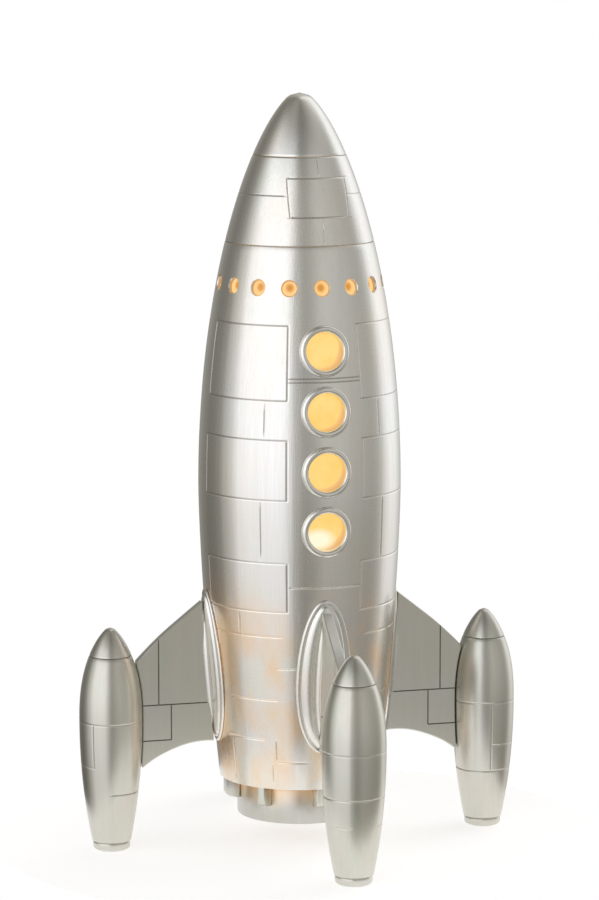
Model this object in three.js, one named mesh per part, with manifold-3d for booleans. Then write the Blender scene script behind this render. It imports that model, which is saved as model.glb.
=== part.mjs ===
// A rocket-shaped table lamp, in millimetres, +Z up.
// The origin is on the table, under the middle of the rocket. The portholes face -Y.
// Four fins carry four pods, and the lamp stands on the pods. The bulb and its holder
// stand on a stem inside the hull, and come out downwards through the nozzle.
import * as THREE from 'three';
import { mergeVertices } from 'three/addons/utils/BufferGeometryUtils.js';
import Module from 'manifold-3d';

const wasm = await Module();
wasm.setup();

// ---------------------------------------------------------------- driving sizes

const HEIGHT = 500.5; // table to the tip of the nose
const GAP = 0.3; // air between two pieces that touch
const WALL = 2.4; // sheet of the hull
const SIDES = 40; // facets around the hull

const HULL_BOTTOM = 43.9;
const BELLY_Z = 240.8; // height of the widest ring of the hull
const BELLY_R = 67.5;
const OGIVE_TIP_Z = 502.7; // where the ogive would end without its rounded tip
const NOSE_ROUND = 13; // radius of the rounded tip
const NOSE_ROUND_DEPTH = 2.7; // how far down the rounding reaches
const TAIL_TAPER = 13; // how much the hull narrows from belly to tail
const TAIL_LENGTH = 190;

const HULL_TOP = 403.3; // seam between the hull and the nose section
const NOSE_SEAM = 460.2; // seam between the nose section and the nose cap
const SPIGOT = 4; // a lower shell's neck inside the shell above it
const SPIGOT_WALL = 1.2;

const WINDOWS = 16;
const WINDOW_Z = 376.6;
const WINDOW_R = 4.9;
const BAND_HALF = 10.5; // half height of the diffuser band behind the windows
const BAND_CLEAR = 1.2; // from the hull's inside to the band

const PORTHOLES = 4;
const PORTHOLE_LOWEST = 218.3;
const PORTHOLE_PITCH = 39.4;
const BEZEL_R = 16.8;
const BEZEL_BORE_R = 12.95;
const BARREL_R = 14.7; // the part of the bezel that passes through the hull
const BEZEL_STAND = 2.6; // how far the bezel stands out of the hull
const BARREL_DEPTH = 6.5;
const LENS_THICK = 2;
const LENS_SUNK = 1.6; // from the hull's skin in to the lens

const POD_CIRCLE = 130; // rocket's axis to a pod's axis
const POD_TOP = 149.6;
const POD_BELLY_Z = 88;
const POD_BELLY_R = 20.9;
const POD_TAPER = 8.2;
const POD_OGIVE_TIP_Z = 150.5;
const POD_TIP_ROUND = 5;
const POD_ROUND_DEPTH = 0.8;
const POD_SEAM = 131;
const POD_WALL = 1.5;
const POD_SIDES = 16;
const FOOT_TOP = 5.8;
const FOOT_R = 12.3;
const PAD_R = 9.2;

const FIN_THICK = 7;
const ROOT_RISE = 3.4; // thickness of the root plate between hull and fin
const ROOT_BELLY_Z = 115;
const ROOT_HALF_WIDTH = 18.8;
const ROOT_UP = 58;
const ROOT_DOWN = 46;

const NOZZLE_R = 41.9;
const NOZZLE_WALL = 2.9;
const NOZZLE_BOTTOM = 17.8;
const NOZZLE_TOP = 47.5;
const LEDGE_Z = 36; // the ledge that the lamp bracket is screwed up against
const LEDGE_THICK = 2.2;
const LEDGE_R = 31;
const RIBS = 8;
const RIB_WIDTH = 5.4;
const RIB_REACH = 52.3;
const RIB_BOTTOM = 29.5;

const BRACKET_HALF = 37.4;
const BRACKET_WIDTH = 14;
const BRACKET_THICK = 2;
const SCREW_REACH = 34.4; // lamp's axis to a bracket screw
const SCREW_SHANK_R = 1.8;
const SCREW_HEAD_R = 3.6;
const STEM_R = 5;
const STEM_BORE_R = 3.4;
const STEM_TOP = 116;
const NUT_THICK = 3.6;
const NUT_FLATS = 14;
const HOLDER_R = 14.5;
const HOLDER_SPLIT = 128;
const HOLDER_TOP = 160;
const CAP_R = 6.7;
const CAP_BOTTOM = 135;
const BULB_R = 22.5;
const BULB_Z = 189;
const BULB_WALL = 1;
const NECK_R = 8.6;
const GROMMET_Z = 25.5;
const GROMMET_R = 5;
const CORD_HOLE_R = 3.3;
const CORD_AZIMUTH = 22.5; // degrees past the rear, between two ribs

const BRACKET_TOP = LEDGE_Z - GAP;
const BRACKET_BOTTOM = BRACKET_TOP - BRACKET_THICK;

// ---------------------------------------------------------------- finishes

function finish(colour, roughness, metalness) {
  return () => new THREE.MeshStandardMaterial({ color: colour, roughness, metalness });
}

const silver = finish(0xb9b5ab, 0.38, 1.0);
const darkSilver = finish(0xa7a69a, 0.42, 1.0);
const amberGlass = finish(0xffda8a, 0.25, 0.0);
const zincSteel = finish(0x9a9c9e, 0.4, 1.0);
const brass = finish(0xb9924a, 0.35, 1.0);
const whitePlastic = finish(0xe8e4da, 0.45, 0.0);
const opalGlass = finish(0xfff4dc, 0.2, 0.0);
const blackRubber = finish(0x1d1d1f, 0.8, 0.0);
const greyFelt = finish(0x55534f, 0.95, 0.0);

// ---------------------------------------------------------------- solids

// Signed volume of an indexed triangle mesh: negative when its faces point inwards.
function signedVolume(position, index) {
  const [a, b, c] = [new THREE.Vector3(), new THREE.Vector3(), new THREE.Vector3()];
  let sum = 0;
  for (let i = 0; i < index.length; i += 3) {
    a.fromArray(position, 3 * index[i]);
    b.fromArray(position, 3 * index[i + 1]);
    c.fromArray(position, 3 * index[i + 2]);
    sum += a.dot(b.cross(c)) / 6;
  }
  return sum;
}

// A closed geometry as a solid: shared points merged, flat triangles at a pole dropped.
function solid(geometry) {
  const bare = geometry.clone();
  bare.deleteAttribute('normal');
  bare.deleteAttribute('uv');
  const merged = mergeVertices(bare, 1e-4);
  const source = merged.index.array;
  const kept = [];
  for (let i = 0; i < source.length; i += 3) {
    const [a, b, c] = [source[i], source[i + 1], source[i + 2]];
    if (a !== b && b !== c && c !== a) kept.push(a, b, c);
  }
  const position = merged.attributes.position.array;
  if (signedVolume(position, kept) < 0) kept.reverse();
  const triVerts = new Uint32Array(kept);
  return new wasm.Manifold(new wasm.Mesh({ numProp: 3, vertProperties: position, triVerts }));
}

function geometryOf(manifold) {
  const mesh = manifold.getMesh();
  const geometry = new THREE.BufferGeometry();
  geometry.setAttribute('position', new THREE.BufferAttribute(mesh.vertProperties, 3));
  geometry.setIndex(new THREE.BufferAttribute(mesh.triVerts, 1));
  geometry.computeVertexNormals();
  return geometry;
}

// An outline of [radius, height] pairs, closed on itself, turned about +Z.
function turned(outline, sides = SIDES) {
  const points = [...outline, outline[0]].map(([r, z]) => new THREE.Vector2(r, z));
  return solid(turnedGeometry(points, sides));
}

function turnedGeometry(points, sides) {
  return new THREE.LatheGeometry(points, sides).rotateX(Math.PI / 2);
}

// A shape drawn in x (outwards) and y (upwards), given a thickness about y = 0.
function plate(shape, thickness, curveSegments = 3) {
  const options = { depth: thickness, bevelEnabled: false, curveSegments };
  const geometry = new THREE.ExtrudeGeometry(shape, options);
  geometry.translate(0, 0, -thickness / 2);
  return geometry.rotateX(Math.PI / 2);
}

function block(x0, x1, y0, y1, z0, z1) {
  const geometry = new THREE.BoxGeometry(x1 - x0, y1 - y0, z1 - z0);
  return geometry.translate((x0 + x1) / 2, (y0 + y1) / 2, (z0 + z1) / 2);
}

// A rod along +Z between two heights.
function rod(radius, z0, z1, sides = 18) {
  const geometry = new THREE.CylinderGeometry(radius, radius, z1 - z0, sides);
  return geometry.rotateX(Math.PI / 2).translate(0, 0, (z0 + z1) / 2);
}

// Points along a curve of revolution from one height to another.
function outlinePoints(radiusAt, from, to, steps) {
  const points = [];
  for (let i = 0; i <= steps; i++) {
    const z = THREE.MathUtils.lerp(from, to, i / steps);
    points.push([radiusAt(z), z]);
  }
  return points;
}

// ---------------------------------------------------------------- the hull's outline

// The radius of a round tip, a depth below its top.
function roundTip(depth, radius) {
  return Math.sqrt(Math.max(0, 2 * radius * depth - depth ** 2));
}

function hullRadius(z) {
  if (z < BELLY_Z) return BELLY_R - TAIL_TAPER * ((BELLY_Z - z) / TAIL_LENGTH) ** 1.5;
  const rise = (z - BELLY_Z) / (OGIVE_TIP_Z - BELLY_Z);
  if (z < HEIGHT - NOSE_ROUND_DEPTH) return BELLY_R * (1 - rise * rise) ** 0.65;
  return roundTip(HEIGHT - z, NOSE_ROUND);
}

// How far the hull's skin leans back from upright, in radians.
function hullLean(z) {
  return Math.atan((hullRadius(z - 1) - hullRadius(z + 1)) / 2);
}

// The solid of revolution that lies a distance outside the hull's skin.
function hullGrown(distance) {
  const side = outlinePoints((z) => hullRadius(z) + distance, HULL_BOTTOM - 10, HULL_TOP, 20);
  return turned([[0, HULL_BOTTOM - 10], ...side, [0, HULL_TOP]]);
}

// ---------------------------------------------------------------- hull, nose, diffuser

// A shell of the hull between two seams, with a neck at its top for the next shell.
function hullSection(bottom, top, steps) {
  const inside = (z) => hullRadius(z) - WALL;
  const neck = (z) => hullRadius(z) - WALL - GAP;
  return turned([
    ...outlinePoints(hullRadius, bottom, top, steps),
    [neck(top), top],
    [neck(top + SPIGOT), top + SPIGOT],
    [neck(top + SPIGOT) - SPIGOT_WALL, top + SPIGOT],
    [neck(top) - SPIGOT_WALL, top - SPIGOT],
    ...outlinePoints(inside, top - 2 * SPIGOT, bottom, Math.ceil(steps / 2)),
  ]);
}

// A cutter pointing out of the hull along its skin's normal, turned to an azimuth.
function radialTool(geometry, z, azimuth) {
  geometry.rotateX(Math.PI / 2 - hullLean(z));
  geometry.translate(0, -hullRadius(z), z);
  return geometry.rotateZ(azimuth);
}

const portholeHeights = [];
for (let i = 0; i < PORTHOLES; i++) {
  portholeHeights.push(PORTHOLE_LOWEST + i * PORTHOLE_PITCH);
}

function makeHullShell() {
  let shell = hullSection(HULL_BOTTOM, HULL_TOP - GAP, 9);
  for (let i = 0; i < WINDOWS; i++) {
    const azimuth = (i * 2 * Math.PI) / WINDOWS;
    shell = shell.subtract(solid(radialTool(rod(WINDOW_R, -8, 8, 8), WINDOW_Z, azimuth)));
  }
  for (const z of portholeHeights) {
    shell = shell.subtract(solid(radialTool(rod(BARREL_R + GAP, -9, 9), z, 0)));
  }
  return shell;
}

function makeNoseCap() {
  const bottom = NOSE_SEAM;
  const inside = (z) => hullRadius(z) - WALL;
  return turned([
    ...outlinePoints(hullRadius, bottom, HEIGHT - 12, 3),
    ...outlinePoints(hullRadius, HEIGHT - 7, HEIGHT - NOSE_ROUND_DEPTH, 1),
    ...outlinePoints(hullRadius, HEIGHT - 1, HEIGHT, 1),
    [0, HEIGHT - 2 * WALL],
    ...outlinePoints(inside, HEIGHT - 8, HEIGHT - 20, 1),
    [inside(bottom), bottom],
  ]);
}

function makeWindowBand() {
  const outside = (z) => hullRadius(z) - WALL - BAND_CLEAR;
  const inside = (z) => outside(z) - 1.2;
  return turned([
    ...outlinePoints(outside, WINDOW_Z - BAND_HALF, WINDOW_Z + BAND_HALF, 1),
    ...outlinePoints(inside, WINDOW_Z + BAND_HALF, WINDOW_Z - BAND_HALF, 1),
  ]);
}

// ---------------------------------------------------------------- portholes

function makeBezel(z) {
  const flange = solid(radialTool(rod(BEZEL_R, -8, 8), z, 0));
  const skin = hullGrown(BEZEL_STAND).subtract(hullGrown(GAP));
  const barrel = solid(radialTool(rod(BARREL_R, -BARREL_DEPTH, 1.2), z, 0));
  const bore = solid(radialTool(rod(BEZEL_BORE_R, -12, 12), z, 0));
  return flange.intersect(skin).add(barrel).subtract(bore);
}

function makeLens(z) {
  const back = -LENS_SUNK - LENS_THICK;
  return solid(radialTool(rod(BEZEL_BORE_R - GAP, back, -LENS_SUNK), z, 0));
}

// ---------------------------------------------------------------- fins and pods

function podRadius(z) {
  if (z < POD_BELLY_Z) return POD_BELLY_R - POD_TAPER * ((POD_BELLY_Z - z) / 83) ** 2.1;
  const rise = (z - POD_BELLY_Z) / (POD_OGIVE_TIP_Z - POD_BELLY_Z);
  if (z < POD_TOP - POD_ROUND_DEPTH) return POD_BELLY_R * (1 - rise ** 2.35) ** 0.75;
  return roundTip(POD_TOP - z, POD_TIP_ROUND);
}

function makePodShell() {
  const top = POD_SEAM - GAP;
  const inside = (z) => podRadius(z) - POD_WALL;
  const neck = (z) => podRadius(z) - POD_WALL - 3 * GAP;
  return turned([
    ...outlinePoints(podRadius, FOOT_TOP + GAP, top, 5),
    [neck(top), top],
    [neck(top + 3), top + 3],
    [neck(top + 3) - 1, top + 3],
    [neck(top) - 1, top - 3],
    ...outlinePoints(inside, top - 6, FOOT_TOP + GAP, 2),
  ], POD_SIDES);
}

function makePodNose() {
  const inside = (z) => podRadius(z) - POD_WALL;
  return turned([
    ...outlinePoints(podRadius, POD_SEAM, POD_TOP - 4, 3),
    ...outlinePoints(podRadius, POD_TOP - 1, POD_TOP, 1),
    [0, POD_TOP - 2.4],
    ...outlinePoints(inside, POD_TOP - 6, POD_SEAM, 1),
  ], POD_SIDES);
}

function makePodFoot() {
  const seat = 1.6;
  return turned([
    [FOOT_R - 0.9, 0.5],
    [FOOT_R, 2.4],
    [FOOT_R, FOOT_TOP - 0.8],
    [FOOT_R - 0.5, FOOT_TOP],
    [PAD_R - 2, FOOT_TOP],
    [PAD_R - 2, seat + GAP],
    [PAD_R + GAP, seat + GAP],
    [PAD_R + GAP, 0.5],
  ], POD_SIDES);
}

function makeFootPad() {
  return turned([[0, 0], [PAD_R, 0], [PAD_R, 1.6], [0, 1.6]], POD_SIDES);
}

// The fin's outline: a falling top edge and an arch below, running into hull and pod.
function finShape() {
  const top = [[56, 174], [66, 166], [80, 155], [96, 142], [110, 128.6], [124, 114]];
  const arch = [[120, 44.5], [108, 54.7], [96, 62.1], [80, 68], [66, 69.8], [50, 68.6]];
  const vector = ([x, y]) => new THREE.Vector2(x, y);
  const shape = new THREE.Shape();
  shape.moveTo(...top[0]);
  shape.splineThru(top.slice(1).map(vector));
  shape.lineTo(...arch[0]);
  shape.splineThru(arch.slice(1).map(vector));
  shape.closePath();
  return shape;
}

function podGrown(distance) {
  const side = outlinePoints((z) => podRadius(z) + distance, 1, POD_TOP - 2, 18);
  const axis = [[0, POD_TOP - 2], [0, 1]];
  return turned([...side, ...axis], POD_SIDES).translate([POD_CIRCLE, 0, 0]);
}

function makeFin() {
  const blank = solid(plate(finShape(), FIN_THICK));
  const pastPod = solid(block(POD_CIRCLE - 6, POD_CIRCLE + 40, -20, 20, 0, 200));
  return blank.subtract(hullGrown(ROOT_RISE + GAP)).subtract(podGrown(GAP)).subtract(pastPod);
}

// The root plate's outline: two half ellipses that meet at its widest height.
function rootShape() {
  const shape = new THREE.Shape();
  shape.absellipse(0, ROOT_BELLY_Z, ROOT_HALF_WIDTH, ROOT_UP, 0, Math.PI);
  shape.absellipse(0, ROOT_BELLY_Z, ROOT_HALF_WIDTH, ROOT_DOWN, Math.PI, 2 * Math.PI);
  return shape;
}

function makeFinRoot() {
  const outline = plate(rootShape(), 40, 8);
  outline.rotateZ(Math.PI / 2);
  outline.translate(BELLY_R, 0, 0);
  const skin = hullGrown(ROOT_RISE).subtract(hullGrown(GAP));
  return solid(outline).intersect(skin);
}

// ---------------------------------------------------------------- nozzle

function makeNozzleRing() {
  const inner = NOZZLE_R - NOZZLE_WALL;
  let ring = turned([
    [NOZZLE_R - 0.6, NOZZLE_BOTTOM],
    [NOZZLE_R, NOZZLE_BOTTOM + 0.6],
    [NOZZLE_R, NOZZLE_TOP],
    [inner, NOZZLE_TOP],
    [inner, LEDGE_Z + LEDGE_THICK],
    [LEDGE_R, LEDGE_Z + LEDGE_THICK],
    [LEDGE_R, LEDGE_Z],
    [inner, LEDGE_Z],
    [inner, NOZZLE_BOTTOM],
  ]);
  for (const side of [-1, 1]) {
    const hole = rod(SCREW_SHANK_R + GAP, LEDGE_Z - 5, LEDGE_Z + 8, 12);
    ring = ring.subtract(solid(hole.translate(side * SCREW_REACH, 0, 0)));
  }
  const cordHole = rod(GROMMET_R + GAP, -8, 8).rotateX(-Math.PI / 2);
  cordHole.translate(0, NOZZLE_R, GROMMET_Z);
  cordHole.rotateZ(THREE.MathUtils.degToRad(CORD_AZIMUTH));
  return ring.subtract(solid(cordHole));
}

function makeRib() {
  const root = NOZZLE_R + GAP;
  const shape = new THREE.Shape();
  shape.moveTo(root, HULL_BOTTOM - GAP);
  shape.lineTo(RIB_REACH, HULL_BOTTOM - GAP);
  shape.lineTo(RIB_REACH, RIB_BOTTOM + 5);
  shape.quadraticCurveTo(RIB_REACH - 0.5, RIB_BOTTOM + 0.5, root, RIB_BOTTOM);
  shape.closePath();
  return solid(plate(shape, RIB_WIDTH, 6)).subtract(turned([
    [0, 0], [NOZZLE_R + GAP, 0], [NOZZLE_R + GAP, 60], [0, 60],
  ]));
}

// A rubber bush: its groove is wide enough for the curve of the ring's wall.
function makeGrommet() {
  const groove = NOZZLE_WALL + 4 * GAP;
  const grommet = turned([
    [CORD_HOLE_R, -groove - 1.3],
    [GROMMET_R + 1.6, -groove - 1.3],
    [GROMMET_R + 1.6, -groove],
    [GROMMET_R, -groove],
    [GROMMET_R, GAP],
    [GROMMET_R + 1.6, GAP],
    [GROMMET_R + 1.2, 2.4],
    [CORD_HOLE_R, 2.4],
  ], 16);
  const upright = grommet.rotate([-90, 0, 0]).translate([0, NOZZLE_R + GAP, GROMMET_Z]);
  return upright.rotate([0, 0, CORD_AZIMUTH]);
}

// ---------------------------------------------------------------- light unit

function makeBracket() {
  const inner = NOZZLE_R - NOZZLE_WALL - 2 * GAP;
  let bar = solid(block(
    -BRACKET_HALF, BRACKET_HALF,
    -BRACKET_WIDTH / 2, BRACKET_WIDTH / 2,
    BRACKET_BOTTOM, BRACKET_TOP,
  ));
  bar = bar.intersect(solid(rod(inner, BRACKET_BOTTOM - 1, BRACKET_TOP + 1, 64)));
  bar = bar.subtract(solid(rod(STEM_R + GAP, BRACKET_BOTTOM - 1, BRACKET_TOP + 1)));
  for (const side of [-1, 1]) {
    const hole = rod(SCREW_SHANK_R + GAP, BRACKET_BOTTOM - 1, BRACKET_TOP + 1, 12);
    bar = bar.subtract(solid(hole.translate(side * SCREW_REACH, 0, 0)));
  }
  return bar;
}

function makeBracketScrew() {
  const headTop = BRACKET_BOTTOM - GAP;
  const screw = turned([
    [0, headTop - 2.2],
    [SCREW_HEAD_R - 1, headTop - 2.2],
    [SCREW_HEAD_R, headTop - 1.2],
    [SCREW_HEAD_R, headTop],
    [SCREW_SHANK_R, headTop],
    [SCREW_SHANK_R, LEDGE_Z + 5],
    [0, LEDGE_Z + 5],
  ], 20);
  const slot = block(-5, 5, -0.5, 0.5, headTop - 3, headTop - 1.2);
  return screw.subtract(solid(slot));
}

function makeStem() {
  return turned([
    [STEM_BORE_R, BRACKET_BOTTOM - NUT_THICK - 2],
    [STEM_R, BRACKET_BOTTOM - NUT_THICK - 2],
    [STEM_R, STEM_TOP],
    [STEM_BORE_R, STEM_TOP],
  ], 24);
}

function makeNut(bottom) {
  const corner = NUT_FLATS / Math.sqrt(3);
  const hexagon = solid(rod(corner, bottom, bottom + NUT_THICK, 6));
  return hexagon.subtract(solid(rod(STEM_R + GAP, bottom - 1, bottom + NUT_THICK + 1)));
}

// The lower half of the lamp holder: a cup with a collar over the stem's end.
function makeHolderBase() {
  const floor = STEM_TOP + GAP;
  return turned([
    [STEM_BORE_R, floor],
    [STEM_R + GAP, floor],
    [STEM_R + GAP, STEM_TOP - 9],
    [STEM_R + 3, STEM_TOP - 9],
    [STEM_R + 3, STEM_TOP - 5],
    [HOLDER_R, STEM_TOP],
    [HOLDER_R, HOLDER_SPLIT - GAP],
    [HOLDER_R - 2, HOLDER_SPLIT - GAP],
    [HOLDER_R - 2, floor + 2],
    [STEM_BORE_R, floor + 2],
  ], 18);
}

// The upper half: a sleeve around the screw shell, with a floor under the bulb's cap.
function makeHolderSleeve() {
  return turned([
    [HOLDER_R, HOLDER_SPLIT],
    [HOLDER_R, HOLDER_TOP - 3],
    [HOLDER_R - 1.5, HOLDER_TOP],
    [HOLDER_R - 3, HOLDER_TOP],
    [HOLDER_R - 3, HOLDER_SPLIT + 4],
    [CAP_R - 2, HOLDER_SPLIT + 4],
    [CAP_R - 2, HOLDER_SPLIT],
  ], 18);
}

function makeScrewShell() {
  const outside = HOLDER_R - 3 - GAP;
  return turned([
    [CAP_R + 1, HOLDER_SPLIT + 4 + GAP],
    [outside, HOLDER_SPLIT + 4 + GAP],
    [outside, HOLDER_SPLIT + 6],
    [CAP_R + 2.2, HOLDER_SPLIT + 8],
    [CAP_R + 2.2, HOLDER_TOP - 6],
    [CAP_R + 1, HOLDER_TOP - 6],
  ], 18);
}

function makeBulbCap() {
  return turned([
    [0, CAP_BOTTOM],
    [2.4, CAP_BOTTOM],
    [3, CAP_BOTTOM + 2],
    [CAP_R - 0.6, CAP_BOTTOM + 4],
    [CAP_R, CAP_BOTTOM + 6],
    [CAP_R, HOLDER_TOP + 1],
    [CAP_R - 0.8, HOLDER_TOP + 1],
    [CAP_R - 0.8, HOLDER_TOP - 4],
    [0, HOLDER_TOP - 4],
  ], 24);
}

// A small round bulb: a neck that opens into a globe, its rim standing on the cap.
function makeBulbGlass() {
  const seat = HOLDER_TOP + 1 + GAP;
  const neckTop = BULB_Z - Math.sqrt(BULB_R ** 2 - (NECK_R + 2) ** 2);
  const globe = (radius, fromZ) => {
    const start = Math.asin((fromZ - BULB_Z) / radius);
    const points = [];
    for (let i = 0; i <= 6; i++) {
      const angle = THREE.MathUtils.lerp(start, Math.PI / 2, i / 6);
      points.push([radius * Math.cos(angle), BULB_Z + radius * Math.sin(angle)]);
    }
    return points;
  };
  return turned([
    [CAP_R, seat],
    [NECK_R, seat + 2],
    ...globe(BULB_R, neckTop),
    ...globe(BULB_R - BULB_WALL, neckTop).reverse(),
    [NECK_R - BULB_WALL, seat + 3],
    [CAP_R - BULB_WALL, seat],
  ], 18);
}

// ---------------------------------------------------------------- the assembly

const lamp = new THREE.Group();

function add(parent, name, manifold, material) {
  const mesh = new THREE.Mesh(geometryOf(manifold), material());
  mesh.name = name;
  parent.add(mesh);
  return mesh;
}

add(lamp, 'hull_shell', makeHullShell(), silver);
add(lamp, 'nose_section', hullSection(HULL_TOP, NOSE_SEAM - GAP, 3), silver);
add(lamp, 'nose_cap', makeNoseCap(), silver);
add(lamp, 'window_band', makeWindowBand(), amberGlass);

portholeHeights.forEach((z, i) => {
  add(lamp, `porthole_bezel_${i + 1}`, makeBezel(z), silver);
  add(lamp, `porthole_lens_${i + 1}`, makeLens(z), amberGlass);
});

const [fin, finRoot] = [makeFin(), makeFinRoot()];
const [podShell, podNose, podFoot, footPad] = [
  makePodShell(), makePodNose(), makePodFoot(), makeFootPad(),
];
['right', 'rear', 'left', 'front'].forEach((side, i) => {
  const arm = new THREE.Group();
  arm.rotation.z = (i * Math.PI) / 2;
  lamp.add(arm);
  add(arm, `fin_${side}`, fin, darkSilver);
  add(arm, `fin_root_${side}`, finRoot, darkSilver);
  const pod = new THREE.Group();
  pod.position.x = POD_CIRCLE;
  arm.add(pod);
  add(pod, `pod_shell_${side}`, podShell, darkSilver);
  add(pod, `pod_nose_${side}`, podNose, darkSilver);
  add(pod, `pod_foot_${side}`, podFoot, darkSilver);
  add(pod, `foot_pad_${side}`, footPad, greyFelt);
});

add(lamp, 'nozzle_ring', makeNozzleRing(), silver);
const rib = makeRib();
for (let i = 0; i < RIBS; i++) {
  const mesh = add(lamp, `nozzle_rib_${i + 1}`, rib, silver);
  mesh.rotation.z = (i * 2 * Math.PI) / RIBS;
}
add(lamp, 'cord_grommet', makeGrommet(), blackRubber);

add(lamp, 'lamp_bracket', makeBracket(), zincSteel);
const screw = makeBracketScrew();
[-1, 1].forEach((side, i) => {
  add(lamp, `bracket_screw_${i + 1}`, screw, zincSteel).position.x = side * SCREW_REACH;
});
add(lamp, 'lamp_stem', makeStem(), zincSteel);
add(lamp, 'lock_nut_lower', makeNut(BRACKET_BOTTOM - GAP - NUT_THICK), brass);
add(lamp, 'lock_nut_upper', makeNut(BRACKET_TOP + GAP), brass);
add(lamp, 'holder_base', makeHolderBase(), whitePlastic);
add(lamp, 'holder_sleeve', makeHolderSleeve(), whitePlastic);
add(lamp, 'holder_screw_shell', makeScrewShell(), brass);
add(lamp, 'bulb_cap', makeBulbCap(), brass);
add(lamp, 'bulb_glass', makeBulbGlass(), opalGlass);

export default lamp;
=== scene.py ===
# %% [markdown]
# # A rocket-shaped table lamp
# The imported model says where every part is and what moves. This lesson gives each part its
# finished shape and surface: a silver hull with engraved panels, glowing portholes, four
# fins and the four pods that the lamp stands on.

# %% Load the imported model
import math

import bmesh
import bpy
from mathutils import Matrix, Vector, noise


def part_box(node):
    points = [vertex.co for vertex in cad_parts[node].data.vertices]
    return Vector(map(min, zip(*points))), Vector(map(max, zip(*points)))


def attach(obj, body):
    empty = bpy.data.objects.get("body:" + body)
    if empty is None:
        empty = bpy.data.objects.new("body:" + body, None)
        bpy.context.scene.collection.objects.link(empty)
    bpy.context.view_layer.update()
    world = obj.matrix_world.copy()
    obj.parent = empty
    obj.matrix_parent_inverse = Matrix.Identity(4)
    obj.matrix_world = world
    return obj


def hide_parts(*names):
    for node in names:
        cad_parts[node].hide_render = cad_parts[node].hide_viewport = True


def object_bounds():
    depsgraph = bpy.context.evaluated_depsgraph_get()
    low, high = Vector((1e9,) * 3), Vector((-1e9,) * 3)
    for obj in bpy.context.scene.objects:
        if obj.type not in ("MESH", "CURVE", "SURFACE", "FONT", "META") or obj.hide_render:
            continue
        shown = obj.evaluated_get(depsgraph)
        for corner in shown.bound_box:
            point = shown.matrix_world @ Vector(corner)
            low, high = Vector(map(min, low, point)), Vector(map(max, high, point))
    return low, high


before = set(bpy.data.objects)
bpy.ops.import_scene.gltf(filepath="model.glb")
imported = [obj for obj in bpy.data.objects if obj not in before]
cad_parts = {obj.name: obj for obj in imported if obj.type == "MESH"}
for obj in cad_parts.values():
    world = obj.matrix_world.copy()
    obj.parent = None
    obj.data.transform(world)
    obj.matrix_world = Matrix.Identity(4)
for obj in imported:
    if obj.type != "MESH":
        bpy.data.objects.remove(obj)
cad_low, cad_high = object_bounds()
MM = 0.001
HEIGHT = cad_high.z
print(f"{len(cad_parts)} parts, {HEIGHT:.3f} m tall")

# %% [markdown]
# ## The camera
# The lamp is seen from a little above and a little to its right-hand side, from far away
# with a long lens, so that upright edges stay upright. The distance and height are in units
# of the circle that the pods stand on, because that circle fixes the size of everything.

# %% Camera
POD_CIRCLE = sum(c[0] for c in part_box("foot_pad_right")) / 2
CAMERA_TURN = math.radians(-15.56)
CAMERA_TILT = math.radians(8.28)
camera_distance = 18.94 * POD_CIRCLE
camera_height = 4.78 * POD_CIRCLE

camera_data = bpy.data.cameras.new("camera")
camera_data.lens = 149.4
camera_data.sensor_width = 36
camera = bpy.data.objects.new("camera", camera_data)
bpy.context.collection.objects.link(camera)
camera.location = (
    camera_distance * math.sin(CAMERA_TURN),
    -camera_distance * math.cos(CAMERA_TURN),
    camera_height,
)
camera.rotation_euler = (math.pi / 2 - CAMERA_TILT, 0, CAMERA_TURN)
bpy.context.scene.camera = camera
bpy.context.scene.view_settings.view_transform = "Standard"
print(f"camera {camera_distance:.2f} m away, {camera_height:.2f} m up")

# %% [markdown]
# ## Sums on shader sockets
# A shader is a graph of nodes, and every sum in it is a Math node. A small class wraps one
# socket, so that `1 - mask * 0.5` in Python adds those Math nodes by itself. Every other node
# comes from one function, which sets the node up first and then fills its sockets.


# %% Sockets and nodes
class Wire:
    """One output socket of a shader node, which Python sums turn into Math nodes."""

    def __init__(self, tree, socket):
        self.tree = tree
        self.socket = socket

    def math(self, operation, *terms):
        settings = {"operation": operation}
        return add_node(self.tree, "ShaderNodeMath", settings, dict(enumerate(terms)))

    def __add__(self, other):
        return self.math("ADD", self, other)

    def __radd__(self, other):
        return self.math("ADD", other, self)

    def __sub__(self, other):
        return self.math("SUBTRACT", self, other)

    def __rsub__(self, other):
        return self.math("SUBTRACT", other, self)

    def __mul__(self, other):
        return self.math("MULTIPLY", self, other)

    def __rmul__(self, other):
        return self.math("MULTIPLY", other, self)

    def between(self, low, high):
        """0 at low, 1 at high, and clamped outside."""
        sockets = {"Value": self, "From Min": low, "From Max": high}
        return add_node(self.tree, "ShaderNodeMapRange", {}, sockets)


def add_node(tree, kind, settings, sockets, output=0):
    """Adds a node: its settings first, then the values and links of its sockets."""
    node = tree.nodes.new(kind)
    for key, value in settings.items():
        if key == "stops":
            ramp = node.color_ramp
            while len(ramp.elements) < len(value):
                ramp.elements.new(0.5)
            for element, (place, colour) in zip(ramp.elements, value):
                element.position = place
            for element, (place, colour) in zip(ramp.elements, value):
                element.color = (*colour, 1)
        else:
            setattr(node, key, value)
    for key, value in sockets.items():
        if isinstance(value, Wire):
            tree.links.new(value.socket, node.inputs[key])
        else:
            node.inputs[key].default_value = value
    return Wire(tree, node.outputs[output]) if node.outputs else None


def three_parts(tree, vector):
    """The X, Y and Z of a vector."""
    first = add_node(tree, "ShaderNodeSeparateXYZ", {}, {0: vector})
    return [Wire(tree, socket) for socket in first.socket.node.outputs]


def mix_colours(tree, amount, first, second, blend="MIX"):
    """Mixes two colours: amount 0 gives the first, 1 the second."""
    settings = {"data_type": "RGBA", "blend_type": blend, "clamp_factor": True}
    return add_node(tree, "ShaderNodeMix", settings, {0: amount, 6: first, 7: second}, 2)


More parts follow.
